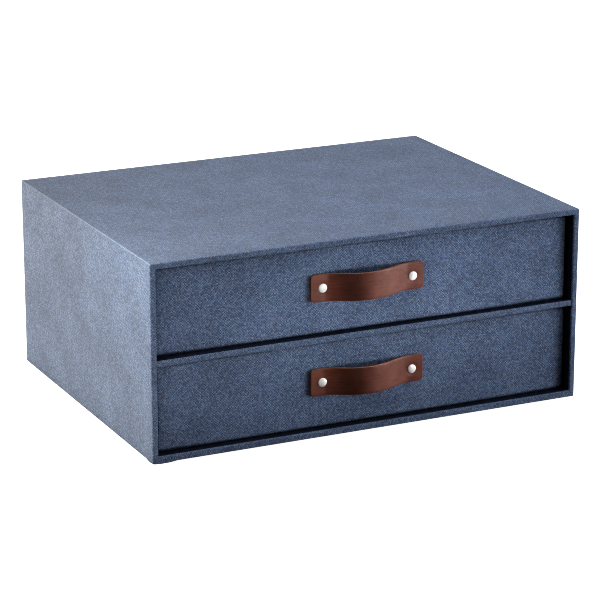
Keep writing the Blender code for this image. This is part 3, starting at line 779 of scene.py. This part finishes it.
def cloth_material(name, seed, contrast=1.0, hues=1.0):
    """Plain-weave book cloth.  U runs along the slub threads, in mm."""
    n = Net(name)
    uv = n.uv()
    u, v, _ = n.split(uv)
    place = n.vec(u, v, seed)
    # the threads wander a little
    wander = n.noise(place, 0.06, 2.0, out="Color")
    wx, wy, _ = n.split(wander)
    shiver = n.noise(place, 0.45, 1.0, out="Color")
    sx, sy, _ = n.split(shiver)
    u2 = n.add(u, n.add(n.mul(n.sub(wx, 0.5), 0.9), n.mul(n.sub(sx, 0.5), SHIVER)))
    v2 = n.add(v, n.add(n.mul(n.sub(wy, 0.5), 0.9), n.mul(n.sub(sy, 0.5), SHIVER)))
    a = n.math("DIVIDE", u2, PITCH_U)
    b = n.math("DIVIDE", v2, PITCH_V)
    i, j = n.math("FLOOR", a), n.math("FLOOR", b)
    fa, fb = n.sub(n.sub(a, i), 0.5), n.sub(n.sub(b, j), 0.5)
    over = n.math("FLOORED_MODULO", n.add(i, j), 2.0)      # 1: the slub thread is on top
    ca = n.math("COSINE", n.mul(fa, math.pi))
    cb = n.math("COSINE", n.mul(fb, math.pi))
    high_u = n.mul(n.math("POWER", cb, 0.7), n.add(n.mul(ca, 0.5), 0.5))
    high_v = n.mul(n.math("POWER", ca, 0.7), n.add(n.mul(cb, 0.5), 0.5))
    height = n.mix_value(over, high_v, high_u)
    # each thread changes tone and thickness along its length
    tone_u = n.noise(n.vec(n.mul(u, 0.085), n.mul(j, 4.7), seed + 3.0), 1.0, 2.0, 0.6)
    tone_v = n.noise(n.vec(n.mul(i, 4.7), n.mul(v, 0.12), seed + 11.0), 1.0, 1.0, 0.5)
    cell = n.random(n.vec(i, j, seed))
    cell2 = n.random(n.vec(j, i, seed + 31.0))
    speck = n.noise(place, 2.3, 1.0, 0.6)
    patch = n.noise(place, 0.16, 3.0, 0.55)
    hue = n.noise(n.vec(n.mul(u, 0.6), v, seed + 5.0), 0.30, 3.0, 0.6)
    broad = n.noise(place, 0.03, 2.0, 0.5)
    light_u = n.add(n.add(n.mul(n.sub(tone_u, 0.5), TONE_U), n.mul(n.sub(cell, 0.5), CELL)),
                    n.add(0.5 + LIFT_U, n.mul(n.sub(speck, 0.5), SPECK)))
    light_v = n.add(n.add(n.mul(n.sub(tone_v, 0.5), TONE_V), n.mul(n.sub(cell2, 0.5), CELL)),
                    n.add(0.5 - LIFT_U, n.mul(n.sub(speck, 0.5), SPECK)))
    light = n.mix_value(over, light_v, light_u)
    light = n.add(light, n.mul(n.sub(patch, 0.5), PATCH))
    light = n.add(light, n.mul(n.sub(broad, 0.5), BROAD))
    light = n.add(n.mul(n.sub(light, 0.5), contrast), 0.5)
    light = n.math("MAXIMUM", light, 0.0)
    dark, mid, pale = CLOTH_DARK, CLOTH_MID, CLOTH_PALE
    lower = n.mix(n.mul(light, 2.0), dark, mid)
    colour = n.mix(n.sub(n.mul(light, 2.0), 1.0), lower, pale)
    # some yarn is browner and some is greener
    warm = n.range(hue, 0.40, 0.64, 0.5 - 0.5 * hues, 0.5 + 0.5 * hues, "SMOOTHSTEP")
    colour = n.mix(1.0, colour, n.mix(warm, CLOTH_COOL, CLOTH_WARM), "MULTIPLY")
    # painted shade in the gaps between the threads and a slight painted highlight on their crowns
    thread_painted_shade = n.range(height, 0.0, 0.75, lerp(1.0, THREAD_GAP_SHADE, contrast), lerp(1.0, 1.08, contrast), "SMOOTHSTEP")
    colour = n.scale_colour(colour, thread_painted_shade)
    # painted shade on the cloth turned into the bays and on the drawers' lower edges, where shade falls; it also takes
    # most of the gloss away there
    painted_shade = n.attribute("deep")
    colour = n.scale_colour(colour, n.mix_value(painted_shade, 1.0, PAINTED_SHADE_LEVEL))
    # rubbed edges, with a painted highlight along the case's upper left edge
    rim = n.attribute("edge")
    fray = n.noise(place, 0.5, 3.0, 0.65)
    wear_and_highlight = n.mul(n.math("POWER", rim, 1.5), n.range(fray, 0.3, 0.7, 0.45, 1.0))
    colour = n.mix(n.mul(wear_and_highlight, EDGE_WEAR_AND_HIGHLIGHT), colour, EDGE_PALE_AND_HIGHLIGHT)
    n.put(n.shader.inputs["Base Color"], colour)
    rough = n.range(light, 0.2, 0.9, 0.92, 0.74)
    n.put(n.shader.inputs["Roughness"], rough)
    n.put(n.shader.inputs["Specular IOR Level"], n.mix_value(painted_shade, CLOTH_SPEC, 0.05))
    n.put(n.shader.inputs["Sheen Weight"], n.mix_value(painted_shade, CLOTH_SHEEN, 0.0))
    n.shader.inputs["Sheen Roughness"].default_value = CLOTH_SHEEN_ROUGH
    n.shader.inputs["Sheen Tint"].default_value = (*CLOTH_SHEEN_TINT, 1.0)
    fibre = n.noise(n.vec(n.mul(u, 1.0), v, seed + 9.0), 3.2, 2.0, 0.6)
    relief = n.add(n.add(height, n.mul(tone_u, 0.5)), n.mul(fibre, 0.35))
    n.bump(relief, 0.10 * MM, 0.7)
    return n.material


TONE_U, TONE_V, CELL, SPECK, LIFT_U, PATCH, BROAD = 0.38, 0.20, 0.42, 0.90, 0.15, 0.05, 0.38
CLOTH_DARK = (0.008, 0.012, 0.032)
CLOTH_MID = (0.052, 0.090, 0.179)
CLOTH_PALE = (0.180, 0.277, 0.478)
CLOTH_COOL = (0.94, 1.01, 1.05)
CLOTH_WARM = (1.09, 0.98, 0.94)
THREAD_GAP_SHADE = 0.66
EDGE_WEAR_AND_HIGHLIGHT, EDGE_PALE_AND_HIGHLIGHT = 0.45, (0.39, 0.48, 0.64)
PAINTED_SHADE_LEVEL = 0.12
CLOTH_SPEC, CLOTH_SHEEN, CLOTH_SHEEN_ROUGH = 0.5, 0.10, 0.40
CLOTH_SHEEN_TINT = (0.92, 0.95, 1.0)


def leather_material():
    n = Net("strap_leather_grain")
    uv = n.uv()
    u, v, _ = n.split(uv)
    place = n.vec(u, v, 0.0)
    cells = n.node("ShaderNodeTexVoronoi", feature="DISTANCE_TO_EDGE")
    warp = n.noise(place, 1.3, 2.0, 0.5, out="Color")
    bent = n.node("ShaderNodeVectorMath", operation="ADD")
    n.put(bent.inputs[0], place)
    n.put(bent.inputs[1], n.scale_colour(warp, 0.5))
    n.put(cells.inputs["Vector"], bent.outputs[0])
    cells.inputs["Scale"].default_value = 1.7
    crack = n.range(cells.outputs["Distance"], 0.0, 0.16, 0.0, 1.0, "SMOOTHSTEP")
    grain = n.noise(place, 2.6, 4.0, 0.6)
    mottled = n.noise(place, 0.10, 3.0, 0.55)
    streak = n.noise(n.vec(n.mul(u, 0.12), n.mul(v, 0.9), 5.0), 1.0, 2.0, 0.5)
    tone = n.add(n.mul(mottled, 0.6), n.mul(streak, 0.4))
    colour = n.mix(n.range(tone, 0.32, 0.68, 0.0, 1.0), LEATHER_DARK, LEATHER_LIGHT)
    colour = n.scale_colour(colour, n.range(crack, 0.0, 1.0, 0.86, 1.03))
    colour = n.scale_colour(colour, n.range(grain, 0.3, 0.7, 0.93, 1.07))
    # painted shade on the left slope of the bow, which faces away from the light
    bow_left_painted_shade = n.mul(n.range(u, -35.0, -16.0, 0.0, 1.0, "SMOOTHSTEP"), n.range(u, -12.0, 4.0, 1.0, 0.0, "SMOOTHSTEP"))
    colour = n.scale_colour(colour, n.mix_value(bow_left_painted_shade, 1.0, BOW_LEFT_SHADE_LEVEL))
    # raw cut edge: paler, fibrous
    rim = n.attribute("edge")
    fibres = n.noise(n.vec(n.mul(u, 1.0), n.mul(v, 1.0), 2.0), 2.4, 3.0, 0.7)
    raw = n.mix(n.range(fibres, 0.3, 0.7, 0.0, 1.0), RAW_DARK, RAW_LIGHT)
    rub = n.range(n.add(rim, n.mul(n.sub(grain, 0.5), 0.4)), 0.30, 0.62, 0.0, 1.0, "SMOOTHSTEP")
    colour = n.mix(rub, colour, raw)
    # painted shade on the strap's cut ends and on its hidden face
    colour = n.scale_colour(colour, n.mix_value(n.attribute("deep"), 1.0, 0.22))
    n.put(n.shader.inputs["Base Color"], colour)
    n.put(n.shader.inputs["Roughness"],
          n.mix_value(rub, n.range(grain, 0.3, 0.7, LEATHER_ROUGH - 0.05, LEATHER_ROUGH + 0.07), 0.85))
    n.put(n.shader.inputs["Specular IOR Level"], n.mix_value(bow_left_painted_shade, 0.19, 0.12))
    n.bump(n.add(n.mul(crack, 0.5), n.mul(grain, 0.7)), 0.05 * MM, 0.6)
    return n.material


LEATHER_DARK, LEATHER_LIGHT = (0.102, 0.0255, 0.0155), (0.178, 0.0510, 0.0315)
BOW_LEFT_SHADE_LEVEL = 0.35
RAW_DARK, RAW_LIGHT = (0.16, 0.060, 0.030), (0.34, 0.150, 0.080)
LEATHER_ROUGH = 0.40


def metal_material():
    n = Net("rivet_metal_brushed")
    tex = n.node("ShaderNodeTexCoord").outputs["Object"]
    fine = n.noise(tex, 2600.0, 3.0, 0.6)
    marks = n.noise(tex, 700.0, 3.0, 0.6)
    tone = n.range(marks, 0.35, 0.7, 1.0, 0.96)
    n.put(n.shader.inputs["Base Color"], n.scale_colour((1.0, 0.985, 0.955), tone))
    n.shader.inputs["Metallic"].default_value = 0.10
    n.put(n.shader.inputs["Roughness"], n.range(fine, 0.3, 0.7, 0.38, 0.48))
    n.bump(n.add(marks, n.mul(fine, 0.3)), 0.01 * MM, 0.4)
    return n.material


def paper_material(name, colour, lighter):
    n = Net(name)
    tex = n.node("ShaderNodeTexCoord").outputs["Object"]
    pulp = n.noise(tex, 900.0, 4.0, 0.65)
    cloud = n.noise(tex, 60.0, 3.0, 0.5)
    fibre = n.noise(n.node("ShaderNodeTexCoord").outputs["Object"], 2500.0, 2.0, 0.7)
    tone = n.add(n.mul(pulp, 0.55), n.mul(cloud, 0.45))
    n.put(n.shader.inputs["Base Color"], n.mix(n.range(tone, 0.35, 0.65, 0.0, 1.0), colour, lighter))
    n.put(n.shader.inputs["Roughness"], n.range(pulp, 0.3, 0.7, 0.80, 0.92))
    n.shader.inputs["Specular IOR Level"].default_value = 0.08
    n.bump(n.add(pulp, n.mul(fibre, 0.5)), 0.04 * MM, 0.5)
    return n.material


def board_material():
    n = Net("grey_board_pulp")
    tex = n.node("ShaderNodeTexCoord").outputs["Object"]
    pulp = n.noise(tex, 700.0, 4.0, 0.7)
    flecks = n.noise(tex, 1800.0, 2.0, 0.7)
    colour = n.mix(n.range(pulp, 0.3, 0.7, 0.0, 1.0), (0.27, 0.25, 0.22), (0.40, 0.38, 0.34))
    colour = n.mix(n.range(flecks, 0.62, 0.72, 0.0, 0.6), colour, (0.12, 0.11, 0.10))
    n.put(n.shader.inputs["Base Color"], colour)
    n.put(n.shader.inputs["Roughness"], n.range(pulp, 0.3, 0.7, 0.88, 0.97))
    n.bump(n.add(pulp, n.mul(flecks, 0.4)), 0.08 * MM, 0.6)
    return n.material


def dress(obj, material):
    obj.data.materials.clear()
    obj.data.materials.append(material)


# -------------------------------------------------------------------- camera
WHITE, WARM_WHITE = (1.0, 1.0, 1.0), (1.17, 1.07, 0.92)


def make_camera():
    data = bpy.data.cameras.new("camera")
    data.lens, data.sensor_width, data.sensor_fit = 160.72, 36.0, "HORIZONTAL"
    data.clip_start, data.clip_end = 0.05, 60.0
    cam = bpy.data.objects.new("camera", data)
    bpy.context.collection.objects.link(cam)
    a, e, roll = math.radians(-25.491), math.radians(16.929), math.radians(-0.015)
    back = Vector((math.sin(a) * math.cos(e), -math.cos(a) * math.cos(e), math.sin(e)))
    right = Vector((math.cos(a), math.sin(a), 0.0))
    up = back.cross(right)
    turn = Matrix((right, up, back)).transposed() @ Matrix.Rotation(roll, 3, "Z")
    cam.matrix_world = Matrix.Translation((-0.8059, -1.6992, 0.6335)) @ turn.to_4x4()
    bpy.context.scene.camera = cam


def area(name, place, aim, size, power, spread=180.0, colour=WHITE):
    data = bpy.data.lights.new(name, "AREA")
    data.shape, data.size, data.size_y = "RECTANGLE", size[0], size[1]
    data.energy, data.spread = power, math.radians(spread)
    data.color = colour
    obj = bpy.data.objects.new(name, data)
    bpy.context.collection.objects.link(obj)
    obj.location = place
    obj.rotation_mode = "QUATERNION"
    obj.rotation_quaternion = (Vector(aim) - Vector(place)).to_track_quat("-Z", "Y")
    obj.visible_camera = False
    return obj


def glowing(name, data, strength, colour=WHITE, own=0.9):
    """A plain stage surface that gives off an even light."""
    mesh = bpy.data.meshes.new(name)
    data.to_mesh(mesh)
    data.free()
    obj = bpy.data.objects.new(name, mesh)
    bpy.context.collection.objects.link(obj)
    n = Net(name + "_white")
    n.shader.inputs["Base Color"].default_value = (own, own, own, 1.0)
    n.shader.inputs["Roughness"].default_value = 0.9
    n.shader.inputs["Specular IOR Level"].default_value = 0.1
    n.shader.inputs["Emission Color"].default_value = (*colour, 1.0)
    n.shader.inputs["Emission Strength"].default_value = strength
    mesh.materials.append(n.material)
    return obj


def card(name, x0, x1, y0, y1, strength, colour=WHITE):
    """Light that comes back from the lit part of a white table, out of shot."""
    data = bmesh.new()
    data.faces.new([data.verts.new(p) for p in (
        (x0, y0, -0.001), (x1, y0, -0.001), (x1, y1, -0.001), (x0, y1, -0.001))])
    obj = glowing(name, data, strength, colour, 0.0)
    obj.visible_camera = False
    return obj


def studio_world(lobes):
    """Soft wall light: each lobe is (direction, tightness, strength)."""
    world = bpy.context.scene.world or bpy.data.worlds.new("studio")
    bpy.context.scene.world = world
    world.use_nodes = True
    tree = world.node_tree
    tree.nodes.clear()
    out = tree.nodes.new("ShaderNodeOutputWorld")
    back = tree.nodes.new("ShaderNodeBackground")
    coords = tree.nodes.new("ShaderNodeTexCoord")
    tree.links.new(back.outputs[0], out.inputs[0])
    back.inputs["Strength"].default_value = 0.0
    total = None
    for axis, tight, strength in lobes:
        dot = tree.nodes.new("ShaderNodeVectorMath")
        dot.operation = "DOT_PRODUCT"
        tree.links.new(coords.outputs["Generated"], dot.inputs[0])
        dot.inputs[1].default_value = Vector(axis).normalized()
        value = dot.outputs["Value"]
        for operation, amount in (("MAXIMUM", 0.0), ("POWER", tight), ("MULTIPLY", strength)):
            step = tree.nodes.new("ShaderNodeMath")
            step.operation = operation
            tree.links.new(value, step.inputs[0])
            step.inputs[1].default_value = amount
            value = step.outputs[0]
        if total is not None:
            step = tree.nodes.new("ShaderNodeMath")
            tree.links.new(total, step.inputs[0])
            tree.links.new(value, step.inputs[1])
            value = step.outputs[0]
        total = value
    if total is not None:
        tree.links.new(total, back.inputs["Strength"])


def make_stage():
    data = bmesh.new()
    bmesh.ops.create_circle(data, cap_ends=True, radius=14.0, segments=96)
    floor = glowing("floor", data, 1.0)
    data = bmesh.new()
    bmesh.ops.create_uvsphere(data, u_segments=64, v_segments=32, radius=14.0)
    below = [v for v in data.verts if v.co.z < -0.01]
    bmesh.ops.delete(data, geom=below, context="VERTS")
    backdrop = glowing("backdrop", data, 1.0)
    for obj in (floor, backdrop):
        obj.visible_diffuse = obj.visible_glossy = obj.visible_shadow = False


LOBES = (
    ((-0.6, 0.7, 0.4), 4.0, 0.18),
    ((0.3, 0.9, 0.25), 4.0, 1.80),
    ((0.94, 0.0, 0.34), 4.0, 0.60),
)


def make_lights():
    studio_world(LOBES)
    card("table_left", -2.0, -0.17, -0.30, 1.0, 1.62, WARM_WHITE)
    card("table_back", -2.0, 1.0, 0.15, 3.0, 1.435, WARM_WHITE)
    card("table_front", -1.5, 1.5, -3.0, -0.35, 0.36)
    area("back_left", (-0.55, 0.75, 0.25), (-0.165, 0.0, 0.07), (0.3, 0.3), 7.7, colour=WARM_WHITE)
    area("near_left", (-0.28, -0.12, 0.20), (-0.16, -0.08, 0.09), (0.12, 0.12), 0.38, colour=WARM_WHITE)
    area("overhead", (0.05, -0.07, 0.55), (0.05, -0.07, 0.10), (0.3, 0.3), 1.10)
    area("right_high", (0.80, -0.55, 0.75), (0.0, -0.1, 0.08), (0.5, 0.5), 3.9)
    area("right_low", (0.95, -0.60, 0.06), (0.0, -0.1, 0.08), (0.4, 0.1), 6.3)
    for i, (x, power) in enumerate(((-0.10, 0.0118), (-0.03, 0.0088), (0.035, 0.0108), (0.080, 0.0112))):
        area("pool_%d" % i, (x + 0.55, -0.85, 0.14), (x, -0.12, 0.088), (0.06, 0.06), power, 12.0)


# ---------------------------------------------------------------------- build
make_camera()
case_wrap = build_case_wrap()
divider = build_divider_cloth()
half_w = CASE_W / 2
back_panel = panel(
    "case_back_canvas", -half_w + 3, half_w - 3, CASE_Z0 + 3, CASE_Z1 - 3, 0.0, CANVAS,
    lambda a, b, w: (a, BACK + GAP + w, b), "case", nu=54, nv=22)
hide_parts("case_back_cloth")

case_cloth = cloth_material("canvas_cloth_case", 1.0, 0.82, 0.45)
for obj in (case_wrap, divider, back_panel):
    dress(obj, case_cloth)
leather = leather_material()
metal = metal_material()
for prefix, seed in (("lower", 17.0), ("upper", 43.0)):
    dress(build_drawer_wrap(prefix, seed), cloth_material("canvas_cloth_" + prefix, seed, 0.95, 0.7))
    dress(build_strap(prefix, seed), leather)
    for piece in build_rivets(prefix):
        dress(piece, metal)

lining = paper_material("lining_paper_pulp", (0.006, 0.010, 0.023), (0.012, 0.018, 0.038))
# the bays' lining paper is dark, and darker than the drawers' lining as painted shade in the bays
bay_lining = paper_material("bay_paper_dark_and_shaded", (0.0025, 0.0048, 0.0125), (0.0045, 0.0085, 0.022))
board = board_material()
for name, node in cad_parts.items():
    if name.endswith("_board"):
        dress(node, board)
    elif name.endswith(("_lining", "_sheet")):
        dress(node, bay_lining if name.endswith("_bay_lining") else lining)

make_stage()
make_lights()
bpy.context.scene.view_settings.view_transform = "Standard"
bpy.context.scene.view_settings.look = "None"
bpy.context.scene.cycles.denoising_prefilter = "NONE"      # keeps the fine weave
bpy.context.scene.cycles.filter_width = 1.0                # and as crisp as the photo's
